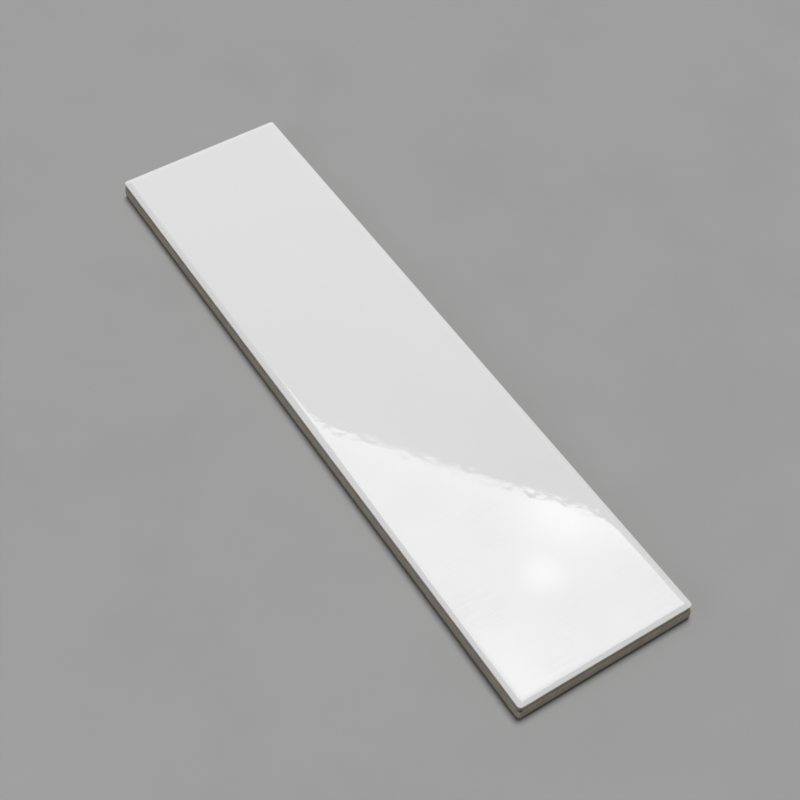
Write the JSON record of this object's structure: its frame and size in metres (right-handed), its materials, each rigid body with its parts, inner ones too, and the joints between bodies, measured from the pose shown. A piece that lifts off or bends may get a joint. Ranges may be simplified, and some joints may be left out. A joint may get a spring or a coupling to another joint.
{
  "type": "subway wall tile",
  "caption": "Long rectangular wall tile with a gloss white glazed face, a gently bevelled rim, bare fired flanks and a keyed back that is bonded to a wall.",
  "frame": {"origin": "under the middle of the tile, in the plane of its back", "axes": "+X along the tile's length, +Y across it, +Z out of the glazed face"},
  "size_m": [0.3, 0.075, 0.009],
  "materials": {
    "glazed_body": "gloss white glaze on the face and rim, bare warm grey fired body on the flanks and back"
  },
  "bodies": {
    "root": {"wall_tile": "glazed_body"}
  },
  "joints": []
}
